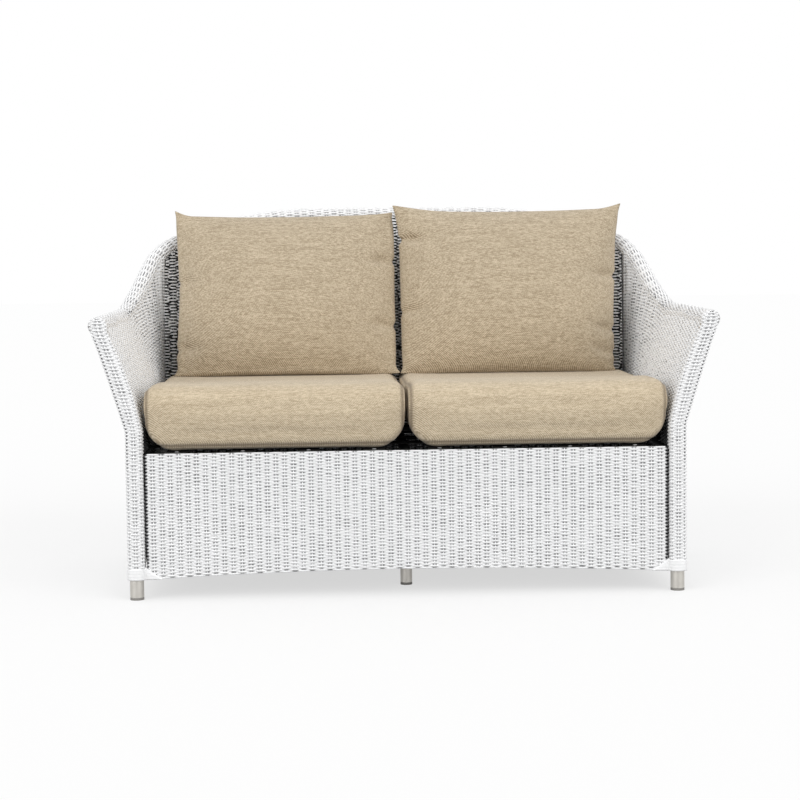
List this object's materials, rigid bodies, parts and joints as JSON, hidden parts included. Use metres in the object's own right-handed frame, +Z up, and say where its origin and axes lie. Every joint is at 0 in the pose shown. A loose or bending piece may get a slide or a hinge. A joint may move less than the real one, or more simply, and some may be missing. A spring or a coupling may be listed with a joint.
{
  "type": "patio loveseat",
  "caption": "Outdoor loveseat with a woven vinyl frame, flared arms, an arched back, loose seat cushions and back pillows on short metal feet.",
  "frame": {"origin": "on the floor, under the middle of the whole piece", "axes": "+X to the right hand of someone who faces the seat, +Y from the front to the back, +Z up; mirror symmetric about X = 0"},
  "size_m": [1.436, 0.8592, 0.9071],
  "materials": {
    "white_weave": "woven vinyl strand, satin",
    "white_vinyl": "smooth vinyl wrap, satin",
    "frame_aluminium": "champagne powder coat, satin",
    "glide_plastic": "moulded, matt",
    "strap_webbing": "flat woven webbing",
    "rivet_steel": "plain",
    "tan_fabric": "slubbed tan tweed weave",
    "zip_tape": "coil zip on tape",
    "batting": "soft fibre",
    "foam": "open-cell foam"
  },
  "bodies": {
    "frame": {"apron_weave": "white_weave", "arm_rail_left": "frame_aluminium", "arm_rail_right": "frame_aluminium", "arm_weave_inner_left": "white_weave", "arm_weave_inner_right": "white_weave", "arm_weave_outer_left": "white_weave", "arm_weave_outer_right": "white_weave", "arm_weave_roll_left": "white_weave", "arm_weave_roll_right": "white_weave", "back_top_rail": "frame_aluminium", "back_upright": "frame_aluminium", "back_weave_inner": "white_weave", "back_weave_outer": "white_weave", "back_weave_roll": "white_weave", "bottom_rail_front": "frame_aluminium", "bottom_rail_rear": "frame_aluminium", "bottom_rail_side_left": "frame_aluminium", "bottom_rail_side_right": "frame_aluminium", "centre_leg": "frame_aluminium", "corner_wrap_left": "white_weave", "corner_wrap_right": "white_weave", "cuff_left": "white_vinyl", "cuff_right": "white_vinyl", "deck_bar_centre": "frame_aluminium", "deck_rail_front": "frame_aluminium", "deck_rail_rear": "frame_aluminium", "deck_rail_side_left": "frame_aluminium", "deck_rail_side_right": "frame_aluminium", "front_facing_left": "white_weave", "front_facing_right": "white_weave", "front_post_left": "frame_aluminium", "front_post_right": "frame_aluminium", "glide_centre": "glide_plastic", "glide_front_left": "glide_plastic", "glide_front_right": "glide_plastic", "glide_rear_left": "glide_plastic", "glide_rear_right": "glide_plastic", "rear_post_left": "frame_aluminium", "rear_post_right": "frame_aluminium", "seat_straps_cross": "strap_webbing", "seat_straps_long": "strap_webbing", "strap_rivets": "rivet_steel"},
    "seat_cushion_left": {"seat_cushion_cover_left": "tan_fabric", "seat_cushion_zip_left": "zip_tape", "seat_cushion_batting_left": "batting", "seat_cushion_foam_left": "foam"},
    "pillow_left": {"pillow_cover_left": "tan_fabric", "pillow_zip_left": "zip_tape", "pillow_fibre_left": "batting"},
    "seat_cushion_right": {"seat_cushion_cover_right": "tan_fabric", "seat_cushion_zip_right": "zip_tape", "seat_cushion_batting_right": "batting", "seat_cushion_foam_right": "foam"},
    "pillow_right": {"pillow_cover_right": "tan_fabric", "pillow_zip_right": "zip_tape", "pillow_fibre_right": "batting"}
  },
  "joints": [
    {"name": "seat_cushion_left_lift", "type": "slide", "parent": "frame", "child": "seat_cushion_left", "axis": [0, 0, 1], "range_m": [0, 0.3]},
    {"name": "pillow_left_lift", "type": "slide", "parent": "seat_cushion_left", "child": "pillow_left", "axis": [0, 0, 1], "range_m": [0, 0.45]},
    {"name": "seat_cushion_right_lift", "type": "slide", "parent": "frame", "child": "seat_cushion_right", "axis": [0, 0, 1], "range_m": [0, 0.3]},
    {"name": "pillow_right_lift", "type": "slide", "parent": "seat_cushion_right", "child": "pillow_right", "axis": [0, 0, 1], "range_m": [0, 0.45]}
  ]
}
